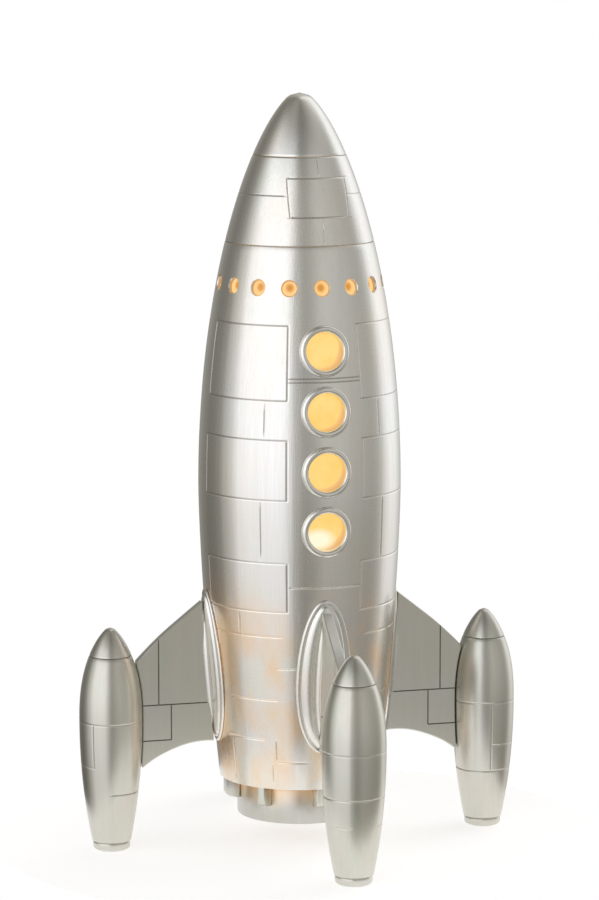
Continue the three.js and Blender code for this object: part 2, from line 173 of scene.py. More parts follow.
print("shader tools ready")

# %% [markdown]
# ## The studio
# Polished metal has almost no colour of its own: it shows the room. The usual studio for it
# has a large soft light to the left of the camera, a narrow one to the right and behind, and
# a dimmer room between them. Here the sky is that room. Its brightness follows the compass
# direction, so the hull gets its upright bright and grey bands, and the soft light on the
# left ends a little above the object, so the nose is greyer.

# %% Studio light
world = bpy.data.worlds.new("studio")
bpy.context.scene.world = world
world.use_nodes = True
sky = world.node_tree
sky.nodes.clear()

east, north, up = three_parts(sky, add_node(sky, "ShaderNodeTexCoord", {}, {}, 0))
# The compass angle, measured from the camera's side and growing to the camera's right.
turn_cos, turn_sin = math.cos(CAMERA_TURN), math.sin(CAMERA_TURN)
right_of_camera = east * turn_cos + north * turn_sin
towards_camera = east * turn_sin - north * turn_cos
compass = right_of_camera.math("ARCTAN2", right_of_camera, towards_camera)
compass = compass * (1 / (2 * math.pi)) + 0.5


def compass_ramp(readings):
    """A ramp from (degrees from the camera, brightness) pairs, slightly warm where dim."""
    stops = []
    for degrees, level in readings:
        warmth = 1 - level
        colour = (level, level * (1 - 0.03 * warmth), level * (1 - 0.14 * warmth))
        stops.append((degrees / 360 + 0.5, colour))
    return add_node(sky, "ShaderNodeValToRGB", {"stops": stops}, {0: compass})


low_room = compass_ramp([
    (-180, 0.50), (-152, 0.30), (-126, 0.17), (-104, 0.24), (-86, 0.66), (-72, 1.18),
    (-14, 1.28), (-4, 0.34), (12, 0.34), (30, 0.60), (56, 0.52), (96, 0.38),
    (108, 0.58), (120, 1.16), (142, 1.04), (162, 0.50),
])
high_room = compass_ramp([
    (-180, 0.50), (-150, 0.34), (-124, 0.18), (-92, 0.22), (-60, 0.30), (-24, 0.31),
    (4, 0.17), (28, 0.20), (60, 0.34), (88, 0.48), (106, 0.80), (124, 1.06),
    (146, 0.94), (165, 0.55),
])
height_mix = up.between(math.sin(math.radians(33)), math.sin(math.radians(52)))
room = mix_colours(sky, height_mix, low_room, high_room)
below = up.between(-0.08, -0.34)
room = mix_colours(sky, below * 0.7, room, (0.42, 0.40, 0.36, 1), "MULTIPLY")
seen_directly = add_node(sky, "ShaderNodeLightPath", {}, {}, 0)
backdrop = mix_colours(sky, seen_directly, room, (1.0, 1.0, 1.0, 1))
glow_of_room = add_node(sky, "ShaderNodeBackground", {}, {"Color": backdrop})
add_node(sky, "ShaderNodeOutputWorld", {}, {"Surface": glow_of_room})
print("studio light ready")

# %% [markdown]
# ## The floor
# A disc of white paper lies just below the pads. It is small and glows a little, so it melts
# into the white background and only soft shadows are left. A larger one would be mirrored
# in the tail and make it too bright.

# %% Floor
FLOOR_R = 0.205
FLOOR_GLOW = 0.62
floor_mesh = bmesh.new()
bmesh.ops.create_circle(floor_mesh, cap_ends=True, segments=96, radius=FLOOR_R)
floor_data = bpy.data.meshes.new("floor")
floor_mesh.to_mesh(floor_data)
floor_mesh.free()
floor = bpy.data.objects.new("floor", floor_data)
bpy.context.collection.objects.link(floor)
floor.location.z = -0.4 * MM
paper = bpy.data.materials.new("white_paper")
paper.use_nodes = True
paper_shader = paper.node_tree.nodes["Principled BSDF"]
paper_shader.inputs["Base Color"].default_value = (0.8, 0.8, 0.8, 1)
paper_shader.inputs["Roughness"].default_value = 0.9
paper_shader.inputs["Emission Color"].default_value = (1, 1, 1, 1)
paper_shader.inputs["Emission Strength"].default_value = FLOOR_GLOW
floor_data.materials.append(paper)
print("floor ready")

# %% [markdown]
# ## Silver
# The shell is metal rubbed by hand from top to bottom. That leaves fine upright streaks,
# which change the roughness and tip the surface a little, and faint patches where the
# silver is warmer or greener. A noise pattern squeezed in X and Y and left long in Z gives
# upright streaks on any upright surface. Engraved lines get painted shade: each engraved
# mesh carries a `groove` value on its points, which darkens the colour there and roughens
# the metal.


# %% Silver finish
def new_finish(name):
    material = bpy.data.materials.new(name)
    material.use_nodes = True
    return material, material.node_tree, material.node_tree.nodes["Principled BSDF"]


def feed(tree, shader, socket, value):
    if isinstance(value, Wire):
        tree.links.new(value.socket, shader.inputs[socket])
    else:
        shader.inputs[socket].default_value = value


def object_place(tree):
    return add_node(tree, "ShaderNodeTexCoord", {}, {}, 3)


def noise_field(tree, place, scale, detail=3, roughness=0.55):
    """Noise from 0 to 1. scale says how often it changes along X, Y and Z, per metre."""
    mapped = add_node(tree, "ShaderNodeMapping", {}, {"Vector": place, "Scale": scale})
    sockets = {"Vector": mapped, "Scale": 1.0, "Detail": detail, "Roughness": roughness}
    return add_node(tree, "ShaderNodeTexNoise", {}, sockets)


def silver(name, base, roughness, glow=None):
    """Hand-rubbed silver. glow is a function of the node tree, the place and the groove
    value. It says where a painted warm glow shows, and how strong it is."""
    material, tree, shader = new_finish(name)
    place = object_place(tree)
    fine = noise_field(tree, place, (900, 900, 14), 4, 0.6)
    broad = noise_field(tree, place, (190, 190, 5), 3)
    patches = noise_field(tree, place, (22, 22, 16), 3)
    cast = noise_field(tree, place, (46, 46, 30), 2)
    grain = noise_field(tree, place, (1600, 1600, 1600), 2)
    groove = add_node(tree, "ShaderNodeAttribute", {"attribute_name": "groove"}, {}, 2)

    warm = tuple(b * k for b, k in zip(base, (1.02, 0.975, 0.93)))
    green = tuple(b * k for b, k in zip(base, (0.965, 1.0, 0.95)))
    colour = mix_colours(tree, patches.between(0.38, 0.66), (*base, 1), (*warm, 1))
    colour = mix_colours(tree, cast.between(0.5, 0.7) * 0.7, colour, (*green, 1))
    rubbed = fine.between(0.25, 0.75) * 0.09 + broad.between(0.3, 0.7) * 0.06
    colour = mix_colours(tree, rubbed, colour, (*(b * 0.5 for b in base), 1))
    if glow:
        # Painted glow: a warm tint in the base colour and a warm emission stand in for the bulb's
        # light.
        warm_light, strength = glow(tree, place, groove)
        colour = mix_colours(tree, warm_light * 0.8, colour, (0.68, 0.49, 0.29, 1))
        light = mix_colours(tree, warm_light, (0, 0, 0, 1), (0.90, 0.44, 0.13, 1))
        feed(tree, shader, "Emission Color", light)
        shader.inputs["Emission Strength"].default_value = strength
    # Painted shade in the engraved lines: the colour darkens to a brown-grey as groove rises.
    groove_painted_shade = groove * groove * groove * 0.45
    colour = mix_colours(tree, groove_painted_shade, colour, (0.22, 0.20, 0.16, 1))
    feed(tree, shader, "Base Color", colour)
    shine = fine * 0.12 + broad * 0.08 + patches * 0.06 + (roughness - 0.13)
    feed(tree, shader, "Roughness", shine + groove * 0.1)
    shader.inputs["Metallic"].default_value = 1.0
    bumps = fine * 0.6 + broad * 0.3 + grain * 0.1
    sockets = {"Height": bumps, "Strength": 0.08, "Distance": 0.0006}
    feed(tree, shader, "Normal", add_node(tree, "ShaderNodeBump", {}, sockets))
    return material


HULL_SILVER = (0.90, 0.89, 0.865)
FIN_SILVER = (0.70, 0.695, 0.645)


def painted_tail_glow(tree, place, groove):
    """Painted glow in the tail, standing in for the bulb's light through thin silver, most of all
    along the lines.
    """
    cloud = noise_field(tree, place, (30, 30, 17), 3)
    height = three_parts(tree, place)[2]
    tail = (1 - height.between(0.135, 0.190)) * height.between(0.030, 0.055)
    patches = cloud.between(0.44, 0.66) * 0.8 + 0.06
    return (patches + groove * cloud.between(0.3, 0.5) * 0.4) * tail, 0.24


hull_silver_painted_glow = silver("hull_silver_painted_glow", HULL_SILVER, 0.26, painted_tail_glow)
plain_silver = silver("plain_silver", HULL_SILVER, 0.26)
fin_silver = silver("fin_silver", FIN_SILVER, 0.32)
print("silver ready")

# %% [markdown]
# ## Glowing glass
# The bulb lights every opening from behind. Rather than leave that to many bounces of light,
# each glass has its own soft glow: amber, deeper towards one side, and almost white where
# the bulb is close. The wall of each small window catches the light too.


# %% Glow finishes
def glow_finish(name, strength, roughness=0.3):
    material, tree, shader = new_finish(name)
    shader.inputs["Base Color"].default_value = (0.16, 0.08, 0.03, 1)
    shader.inputs["Roughness"].default_value = roughness
    shader.inputs["Emission Strength"].default_value = strength
    return material, tree, shader


lit_edge, tree, shader = glow_finish("lit_window_edge", 1.0, 0.5)
cloud = noise_field(tree, object_place(tree), (160, 160, 160), 2)
light = mix_colours(tree, cloud.between(0.3, 0.7), (0.56, 0.34, 0.16, 1), (0.40, 0.22, 0.09, 1))
feed(tree, shader, "Emission Color", light)
print("glow finishes ready")

# %% [markdown]
# ## Shapes that are turned
# The hull, the pods and most fittings are turned: one outline goes round an axis. The spin
# operator does that. The outline is a list of (radius, height) pairs, and it starts and ends
# on the axis or closes on itself.


# %% Turning tools
def turned(outline, steps, closed=True):
    """A bmesh turned about Z from an outline of (radius, height) pairs."""
    work = bmesh.new()
    points = [work.verts.new((r, 0, z)) for r, z in outline]
    edges = [work.edges.new(pair) for pair in zip(points, points[1:])]
    if closed:
        edges.append(work.edges.new((points[-1], points[0])))
    bmesh.ops.spin(
        work, geom=points + edges, cent=(0, 0, 0), axis=(0, 0, 1), dvec=(0, 0, 0),
        angle=2 * math.pi, steps=steps, use_merge=True, use_duplicate=False,
    )
    tidy(work)
    return work


def tidy(work):
    bmesh.ops.remove_doubles(work, verts=work.verts, dist=2e-6)
    bmesh.ops.dissolve_degenerate(work, edges=work.edges, dist=1e-7)
    bmesh.ops.recalc_face_normals(work, faces=work.faces)


def smooth_edges(mesh, degrees):
    for face in mesh.polygons:
        face.use_smooth = True
    mesh.set_sharp_from_angle(angle=math.radians(degrees))


def make_object(work, name, material, crease=44):
    mesh = bpy.data.meshes.new(name)
    work.to_mesh(mesh)
    work.free()
    mesh.materials.append(material)
    smooth_edges(mesh, crease)
    made = bpy.data.objects.new(name, mesh)
    bpy.context.collection.objects.link(made)
    return made


def put(made, node, body="rocket"):
    """Hides the CAD node that a finished piece stands for, and hangs the piece on its body."""
    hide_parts(node)
    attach(made, body)
    return made


def mm(points):
    return [tuple(c * MM for c in point) for point in points]


def cut(made, cutters, linings, crossing=False, crease=44):
    """Cuts joined cutters out of a piece. The faces that a cutter leaves take the cutter's
    materials, which are given in the order of its face numbers. crossing allows cutters
    that run through each other."""
    tool = make_object(cutters, "cutter", linings[0])
    for lining in linings[1:]:
        tool.data.materials.append(lining)
    change = made.modifiers.new("cut", "BOOLEAN")
    change.object = tool
    change.operation = "DIFFERENCE"
    change.solver = "EXACT"
    change.use_self = crossing
    change.material_mode = "TRANSFER"
    depsgraph = bpy.context.evaluated_depsgraph_get()
    result = bpy.data.meshes.new_from_object(made.evaluated_get(depsgraph))
    made.modifiers.clear()
    made.data = result
    bpy.data.objects.remove(tool)
    smooth_edges(result, crease)


def joined(parts):
    """One bmesh from several, each given with its matrix."""
    whole = bmesh.new()
    scratch = bpy.data.meshes.new("scratch")
    for part, matrix in parts:
        part.transform(matrix)
        part.to_mesh(scratch)
        part.free()
        whole.from_mesh(scratch)
    bpy.data.meshes.remove(scratch)
    return whole


print("turning tools ready")

# %% [markdown]
# ## The outline of the hull and of a pod
# Both are ogives. Above its widest ring the radius falls as a power of an ellipse, the very
# tip is a small round, and below the widest ring it narrows gently.

# %% Outlines
BELLY_Z = 240.8 * MM
BELLY_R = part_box("hull_shell")[1].x
OGIVE_TIP_Z = 502.7 * MM
NOSE_ROUND = 13 * MM
NOSE_ROUND_DEPTH = 2.7 * MM
TAIL_TAPER = 13 * MM
TAIL_LENGTH = 190 * MM
WALL = 2.4 * MM

POD_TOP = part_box("pod_nose_front")[1].z
POD_BELLY_Z = 88 * MM
POD_BELLY_R = 20.9 * MM
POD_TIP_Z = 150.5 * MM
POD_WALL = 1.5 * MM


def round_tip(depth, radius):
    return math.sqrt(max(0, 2 * radius * depth - depth**2))


def hull_radius(z):
    if z < BELLY_Z:
        return BELLY_R - TAIL_TAPER * ((BELLY_Z - z) / TAIL_LENGTH) ** 1.5
    rise = (z - BELLY_Z) / (OGIVE_TIP_Z - BELLY_Z)
    if z < HEIGHT - NOSE_ROUND_DEPTH:
        return BELLY_R * (1 - rise**2) ** 0.65
    return round_tip(HEIGHT - z, NOSE_ROUND)


def pod_radius(z):
    if z < POD_BELLY_Z:
        return POD_BELLY_R - 8.2 * MM * ((POD_BELLY_Z - z) / (83 * MM)) ** 2.1
    rise = (z - POD_BELLY_Z) / (POD_TIP_Z - POD_BELLY_Z)
    if z < POD_TOP - 0.8 * MM:
        return POD_BELLY_R * (1 - rise**2.35) ** 0.75
    return round_tip(POD_TOP - z, 5 * MM)


def hull_lean(z):
    step = 0.5 * MM
    return math.atan((hull_radius(z - step) - hull_radius(z + step)) / (2 * step))


def onto_hull(across, z, out):
    """A point on the front of the hull: across its skin, up, and out from the skin."""
    angle = across / hull_radius(z)
    lean = hull_lean(z)
    radius = hull_radius(z) + out * math.cos(lean)
    return Vector((
        radius * math.sin(angle),
        -radius * math.cos(angle),
        z + out * math.sin(lean),
    ))


print(f"hull {2 * BELLY_R:.3f} m wide, pods {2 * POD_BELLY_R:.3f} m")

# %% [markdown]
# ## Engraved shells
# On the real lamp the panel lines are pressed into the sheet. Cutting them with booleans
# would leave ragged faces that spoil the reflections, so the shell is spun in uneven steps:
# wherever an upright line runs there are five columns of points close together, and
# wherever a ring runs there are five rows. Points on the middle column or row are then
# pushed in, and the outer two keep the rest of the surface flat. Every face stays a clean
# four-sided one. A slow noise moves the points by a fraction of a millimetre, as a
# hand-formed sheet has.

# %% Engraving
LINE_HALF = 0.6 * MM
LINE_DEPTH = 0.34 * MM


def stations(start, end, spacing, lines, ends, half):
    """Sorted places from start to end: even steps, five for each line, one for each end."""
    places = {start, end}
    count = max(1, round((end - start) / spacing))
    fixed = set()
    for line in lines:
        if start + 2 * half < line < end - 2 * half:
            fixed.update(line + half * k for k in (-1.8, -1, 0, 1, 1.8))
    for place in ends:
        if all(abs(place - other) > 0.9 * half for other in fixed | places):
            if start < place < end:
                fixed.add(place)
    for i in range(1, count):
        place = start + (end - start) * i / count
        if all(abs(place - other) > 1.2 * half for other in fixed):
            places.add(place)
    return sorted(places | fixed)


def engraved(
    radius_at, bottom, top, inner, rings, uprights, row, column, wobble=0.0, lean=None,
    rolled=(),
):
    """A turned shell with engraved lines. rings are (height, from, to) and uprights are
    (angle, from, to), in metres and in degrees from the front. inner is the outline of
    its hollow, from the top down. rolled are ends that turn in a little at a joint."""
    half_angle = math.degrees(LINE_HALF / max(radius_at(bottom), radius_at(top), 0.02))
    ring_heights = sorted({r[0] for r in rings})
    upright_angles = sorted({u[0] for u in uprights})
    heights = stations(
        bottom, top, row, ring_heights, [h for u in uprights for h in u[1:]], LINE_HALF,
    )
    angles = stations(
        -180, 180, column, upright_angles, [a for r in rings for a in r[1:]], half_angle,
    )

    for end in rolled:
        inward = LINE_HALF if end < (bottom + top) / 2 else -LINE_HALF
        kept = {z for z in heights if abs(z - end - inward) > 0.4 * LINE_HALF}
        heights = sorted(kept | {end + inward})

    def depth(angle, z):
        if any(abs(z - end) < 1e-6 for end in rolled):
            return 0.8
        for height, start, end in rings:
            if abs(z - height) < 1e-6 and start - 0.01 <= angle <= end + 0.01:
                return 1.0
        for place, low, high in uprights:
            if abs(angle - place) < 1e-4 and low - 1e-5 <= z <= high + 1e-5:
                return 1.0
        return 0.0

    outline = [(radius_at(z), z) for z in heights] + inner
    work = bmesh.new()
    points = [work.verts.new((0, r, z)) for r, z in outline]
    edges = [work.edges.new(pair) for pair in zip(points, points[1:] + points[:1])]
    last = points + edges
    for before, after in zip(angles, angles[1:]):
        step = bmesh.ops.spin(
            work, geom=last, cent=(0, 0, 0), axis=(0, 0, 1), dvec=(0, 0, 0),
            angle=math.radians(after - before), steps=1, use_merge=False,
            use_duplicate=False,
        )
        last = step["geom_last"]
    bmesh.ops.remove_doubles(work, verts=work.verts, dist=2e-6)
    bmesh.ops.recalc_face_normals(work, faces=work.faces)

    groove = work.verts.layers.float.new("groove")
    for point in work.verts:
        radius = math.hypot(point.co.x, point.co.y)
        if radius < radius_at(point.co.z) - 0.2 * MM or radius < 1e-5:
            continue
        angle = math.degrees(math.atan2(point.co.x, -point.co.y))
        if angle > 179.99:
            angle = -180.0
        pushed = depth(angle, point.co.z)
        shift = noise.noise(point.co * 28) * wobble
        scale = (radius - pushed * LINE_DEPTH + shift) / radius
        point.co.x *= scale
        point.co.y *= scale
        point[groove] = pushed
        if lean:
            point.co = Matrix.Rotation(math.radians(lean(angle, point.co.z)), 3, "Z") @ point.co
    return work


def hollow(radius_at, wall, top, bottom, steps=10):
    """The inner outline of a shell, from the top down."""
    heights = [top + (bottom - top) * i / steps for i in range(steps + 1)]
    return [(radius_at(z) - wall, z) for z in heights]


print("engraving tools ready")

# %% [markdown]
# ## The hull
# The engraved panels are the same on the left and right of the portholes, and again at the
# back. So one quarter is written down, as heights in millimetres and angles in degrees from
# the front, and it is mirrored left to right and front to back.

# %% Hull panels
HULL_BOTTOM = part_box("hull_shell")[0].z
HULL_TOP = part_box("nose_section")[0].z
PANELS = [(22.5, 81, 304.2, 352.6), (22.5, 81, 239.0, 278.4), (22.5, 81, 164.8, 197.4)]
QUARTER_RINGS = [
    (148.0, 27.5, 48.5), (148.0, 53.5, 75.0), (126.5, 20.0, 29.0),
    (104.9, 29.6, 64.6), (77.3, 38.7, 70.0), (62.5, 13.0, 30.7),
]
QUARTER_UPRIGHTS = [
    (36, 279.6, 301.5), (38, 199.5, 236.5), (54, 149.5, 161.0),
    (31, 64.3, 77.4), (34, 49.6, 60.0), (66, 49.6, 72.0),
]
FRONT_RINGS = [(318.4, 22), (316.0, 22), (181.2, 21.5)]


def quarter_copies(low, high):
    """A range of angles in the right front quarter, and its three mirror images."""
    return [(low, high), (-high, -low), (180 - high, 180 - low), (low - 180, high - 180)]


rings, uprights = [], []
quarter_rings, quarter_uprights = list(QUARTER_RINGS), list(QUARTER_UPRIGHTS)
for left, right, low, high in PANELS:
    quarter_rings += [(low, left, right), (high, left, right)]
    quarter_uprights += [(left, low, high), (right, low, high)]
for height, start, end in quarter_rings:
    rings += [(height * MM, *pair) for pair in quarter_copies(start, end)]
for angle, low, high in quarter_uprights:
    for place in quarter_copies(angle, angle):
        uprights.append((place[0], low * MM, high * MM))
for height, reach in FRONT_RINGS:
    rings += [
        (height * MM, -reach, reach),
        (height * MM, 180 - reach, 180),
        (height * MM, -180, reach - 180),
    ]
GAP = 0.3 * MM
hull_work = engraved(
    hull_radius, HULL_BOTTOM, HULL_TOP - GAP,
    hollow(hull_radius, WALL, HULL_TOP - GAP, HULL_BOTTOM),
    rings, uprights, row=4.2 * MM, column=3.75, wobble=0.06 * MM, rolled=[HULL_TOP - GAP],
)
print(f"hull: {len(hull_work.faces)} faces")

# %% [markdown]
# The holes come last. Each small window is a straight hole with a narrow countersink, made
# by a turned cutter that points along the skin's normal. The porthole openings are hidden
# under their bezels.

# %% Hull openings
WINDOW_Z = sum(c.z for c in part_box("window_band")) / 2
WINDOWS = 16
PORTHOLES = 4
porthole_heights = [
    sum(c.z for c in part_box(f"porthole_lens_{i + 1}")) / 2 for i in range(PORTHOLES)
]


def facing_out(z, azimuth=0.0):
    """The matrix that stands a tool made along +Z on the hull's skin, pointing out."""
    tip = Matrix.Rotation(math.pi / 2 - hull_lean(z), 4, "X")
    out = Matrix.Translation((0, -hull_radius(z), z))
    return Matrix.Rotation(azimuth, 4, "Z") @ out @ tip


window_outline = mm([(0, -8), (4.9, -8), (4.9, -0.9), (5.9, 0.25), (5.9, 4), (0, 4)])
opening_outline = mm([(0, -9), (15, -9), (15, 9), (0, 9)])
tools = []
for i in range(WINDOWS):
    tool = turned(window_outline, 36)
    for face in tool.faces:
        deep = face.calc_center_median().z < -1 * MM
        face.material_index = 1 if deep else 0
    tools.append((tool, facing_out(WINDOW_Z, i * math.tau / WINDOWS)))
for z in porthole_heights:
    tools.append((turned(opening_outline, 48), facing_out(z)))
hull = make_object(hull_work, "hull", hull_silver_painted_glow)
cut(hull, joined(tools), [plain_silver, lit_edge])
put(hull, "hull_shell")
print(f"hull cut: {len(hull.data.polygons)} faces")

# %% [markdown]
# ## The nose
# Two more shells close the hull. The section has an engraved hatch on its front. Its outline
# and the short lines above and below are slightly off centre, as on the real lamp.

# %% Nose
NOSE_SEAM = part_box("nose_cap")[0].z
nose_rings = [
    (446.6 * MM, -26, 36), (421.6 * MM, -24, 30), (435.4 * MM, -86, -27),
    (435.4 * MM, 34, 86), (446.6 * MM, 150, 180), (446.6 * MM, -180, -150),
    (421.6 * MM, 150, 180), (421.6 * MM, -180, -150), (435.4 * MM, 96, 148),
    (435.4 * MM, -148, -96),
]
nose_uprights = [
    (-26, 421.6 * MM, 446.6 * MM), (34, 421.6 * MM, 446.6 * MM), (5, 448.2 * MM, 459.0 * MM),
    (4, 404.5 * MM, 420.2 * MM), (149, 421.6 * MM, 446.6 * MM), (-149, 421.6 * MM, 446.6 * MM),
    (92, 404.5 * MM, 434.8 * MM), (-92, 404.5 * MM, 434.8 * MM),
]


def hatch_lean(angle, z):
    """How far a point turns so that the hatch is wider at its top than at its bottom."""
    middle = (z - 434.1 * MM) / (12.5 * MM)
    if abs(middle) > 1.001 or abs(angle) > 45:
        return 0.0
    return 0.105 * angle * middle


nose_work = engraved(
    hull_radius, HULL_TOP, NOSE_SEAM - GAP, hollow(hull_radius, WALL, NOSE_SEAM - GAP, HULL_TOP),
    nose_rings, nose_uprights, row=3.4 * MM, column=4.5, wobble=0.05 * MM, lean=hatch_lean,
    rolled=[HULL_TOP, NOSE_SEAM - GAP],
)
put(make_object(nose_work, "nose", plain_silver), "nose_section")
cap_hollow = [(0, HEIGHT - 2 * WALL)]
cap_hollow += hollow(hull_radius, WALL, HEIGHT - 8 * MM, NOSE_SEAM)
cap_work = engraved(
    hull_radius, NOSE_SEAM, HEIGHT, cap_hollow, [], [],
    row=1.6 * MM, column=5, wobble=0.05 * MM, rolled=[NOSE_SEAM],
)
put(make_object(cap_work, "nose_tip", plain_silver), "nose_cap")
print("nose ready")

# %% [markdown]
# ## The lit band behind the windows
# A ring of amber plastic stands inside the hull behind the row of small windows. Its glow
# is painted light: brightest around the rim of each window and a deeper orange in the
# middle. The pattern comes from the distance to the nearest window, worked out from the
# angle and the height.

# %% Window band
band_low, band_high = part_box("window_band")
band_steps = [band_low.z + (band_high.z - band_low.z) * i / 6 for i in range(7)]
band_outline = [(hull_radius(z) - WALL - 1.4 * MM, z) for z in band_steps]
band_outline += [(hull_radius(z) - WALL - 2.4 * MM, z) for z in reversed(band_steps)]
band_glow, tree, shader = glow_finish("window_band_glow", 1.0, 0.4)
place = object_place(tree)
x, y, z = three_parts(tree, place)
turns = x.math("ARCTAN2", x, 0 - y) * (WINDOWS / math.tau) + 0.5
beside = (turns.math("FRACT", turns) - 0.5) * (math.tau * hull_radius(WINDOW_Z) / WINDOWS)
above = z - WINDOW_Z
distance = x.math("SQRT", beside * beside + above * above)
cloud = noise_field(tree, place, (60, 60, 60), 2)
# Painted glow: deeper orange in the middle of each window, brighter towards its rim.
middle = distance.between(3.8 * MM, 1.4 * MM) * (0.7 + cloud * 0.6)
light = mix_colours(tree, middle, (0.93, 0.60, 0.25, 1), (0.60, 0.25, 0.03, 1))
feed(tree, shader, "Emission Color", light)
band = make_object(turned(band_outline, 96), "window_band_light", band_glow)
put(band, "window_band")
print("window band ready")

# %% [markdown]
# ## Portholes
# Each bezel is a turned ring with a rounded face. The hull curves under it, so its face is
# draped: every point in front of the skin is pushed back by as much as the hull curves away
# there. Below the skin it stays a straight barrel. The lens is a shallow dome sunk a little
# into the ring.


# %% Bezels and lenses
def drape(work, z):
    """Lets the part of a tool that stands proud of the skin follow the hull's curve."""
    lean = hull_lean(z)
    for point in work.verts:
        if point.co.z <= 0:
            continue
        height = z + point.co.y * math.cos(lean)
        curve = hull_radius(height) - hull_radius(z) + point.co.y * math.sin(lean)
        side = math.sqrt(max(0, hull_radius(height) ** 2 - point.co.x ** 2))
        point.co.z += (curve + side - hull_radius(height)) * math.cos(lean)


BEZEL_BORE = 12.95
BEZEL_RIM = 16.8
BEAD_INNER = 12.4
LENS_R = 12.65
AMBER = (0.93, 0.60, 0.16, 1)
LIGHT_AMBER = (0.97, 0.69, 0.24, 1)
bezel_outline = [(BEZEL_BORE, -6.5), (BEZEL_BORE, -3.4), (BEAD_INNER - 0.5, -3.0)]
bead_middle = (BEAD_INNER + BEZEL_RIM) / 2
bead_half = (BEZEL_RIM - BEAD_INNER) / 2
for i in range(15):
    swing = math.pi * (1 - i / 14)
    out = 0.4 + 2.2 * math.sin(swing) ** 0.85
    bezel_outline.append((bead_middle + bead_half * math.cos(swing), out))
bezel_outline += [(BEZEL_RIM, 0.35), (14.7, 0.35), (14.7, -6.5)]
lens_outline = mm([
    (0, -3.0), (5, -3.05), (9, -3.2), (11.5, -3.4), (12.4, -3.6), (LENS_R, -3.9),
    (LENS_R, -4.8), (0, -4.8),
])

for i, z in enumerate(porthole_heights):
    bezel = turned(mm(bezel_outline), 72)
    drape(bezel, z)
    bezel.transform(facing_out(z))
    made = make_object(bezel, f"bezel_{i + 1}", plain_silver)
    put(made, f"porthole_bezel_{i + 1}")

    lens_glow, tree, shader = glow_finish(f"lens_glow_{i + 1}", 1.0, 0.12)
    place = object_place(tree)
    across, _, up_in = three_parts(tree, place)
    aside = (across + 3.2 * MM) * (1 / (LENS_R * MM))
    above = (up_in - (z + 2.6 * MM)) * (1 / (LENS_R * MM))
    reach = across.math("SQRT", aside * aside + above * above)
    cloud = noise_field(tree, place, (70, 70, 70), 2)
    edge = (reach + cloud * 0.3).between(1.18, 1.34)
    amber = mix_colours(tree, cloud.between(0.3, 0.7), AMBER, LIGHT_AMBER)
    light = mix_colours(tree, edge, amber, (0.80, 0.46, 0.18, 1))
    if i == 0:
        near_x = (across + 5 * MM) * (1 / (13 * MM))
        near_z = (up_in - (z - 5.5 * MM)) * (1 / (8.5 * MM))
        near = across.math("SQRT", near_x * near_x + near_z * near_z)
        light = mix_colours(tree, near.between(1.0, 0.45), light, (0.98, 0.92, 0.70, 1))
    feed(tree, shader, "Emission Color", light)
    lens = turned(lens_outline, 64)
    lens.transform(facing_out(z))
    put(make_object(lens, f"lens_{i + 1}", lens_glow), f"porthole_lens_{i + 1}")
print(f"{PORTHOLES} portholes ready")

# %% [markdown]
# ## Root plates
# Where a fin meets the hull there is a pressed plate, an almond with a raised bead round its
# edge, a groove, a rounded shoulder and a small hollow curve up to the fin. A tube of rings
# is turned first. Then each ring is moved to its place on the plate: its size and its height
# above the skin come from one list, and the first and last ring close up to a line under the
# fin.

# %% Root plate shape
ROOT_Z = 115 * MM
ROOT_HALF = 18.8 * MM
ROOT_UP = 58 * MM
ROOT_DOWN = 46 * MM
ROOT_RISE = 3.4 * MM
# (inset from the edge, height above the skin), in millimetres.
ROOT_PROFILE = [
    (18.8, 0.3), (8, 0.3), (0, 0.3), (0, 0.9), (0.5, 1.4), (1.3, 1.65), (2.2, 1.7),
    (2.9, 1.5), (3.3, 1.2), (3.7, 1.2), (4.2, 1.6), (5.0, 2.3), (6.2, 2.8),
    (8.0, 3.1), (10.0, 3.35), (10.8, 3.3), (11.6, 3.0), (12.8, 3.0), (13.8, 3.5),
    (14.5, 4.2), (15.0, 5.0), (15.35, 6.2), (15.8, 6.2), (15.8, 3.05), (18.8, 3.05),
]


def root_plate(azimuth):
    tube = turned([(1, i) for i in range(len(ROOT_PROFILE))], 96, closed=False)
    for point in tube.verts:
        inset, out = ROOT_PROFILE[round(point.co.z)]
        half = ROOT_HALF - inset * MM
        shrink = 1 - 0.3 * inset * MM / ROOT_HALF
        reach = (ROOT_UP if point.co.y > 0 else ROOT_DOWN) * shrink
        point.co = onto_hull(point.co.x * half, ROOT_Z + point.co.y * reach, out * MM)
    tidy(tube)
    tube.transform(Matrix.Rotation(azimuth, 4, "Z"))
    return tube


SIDES = {"front": 0, "right": 90, "rear": 180, "left": -90}
for side, degrees in SIDES.items():
    plate = root_plate(math.radians(degrees))
    put(make_object(plate, f"root_plate_{side}", plain_silver), f"fin_root_{side}")
print("root plates ready")

# %% [markdown]
# ## Fins
# A fin is a flat plate between the hull and a pod. Its top falls in a curve, its lower edge
# is an arch, and its two ends follow the hull and the pod. The curves are smooth lines
# through a few points. The face is filled, pushed out to the fin's thickness, and its rim
# is bevelled. Thin diamond-shaped bars then cut the panel lines into both sides.

# %% Fin outline
FIN_THICK = 7 * MM
FIN_TOP = mm([(56, 174), (66, 166), (80, 155), (96, 142), (110, 128.6), (124, 114)])
FIN_ARCH = mm([(120, 44.5), (108, 54.7), (96, 62.1), (80, 68), (66, 69.8), (50, 68.6)])


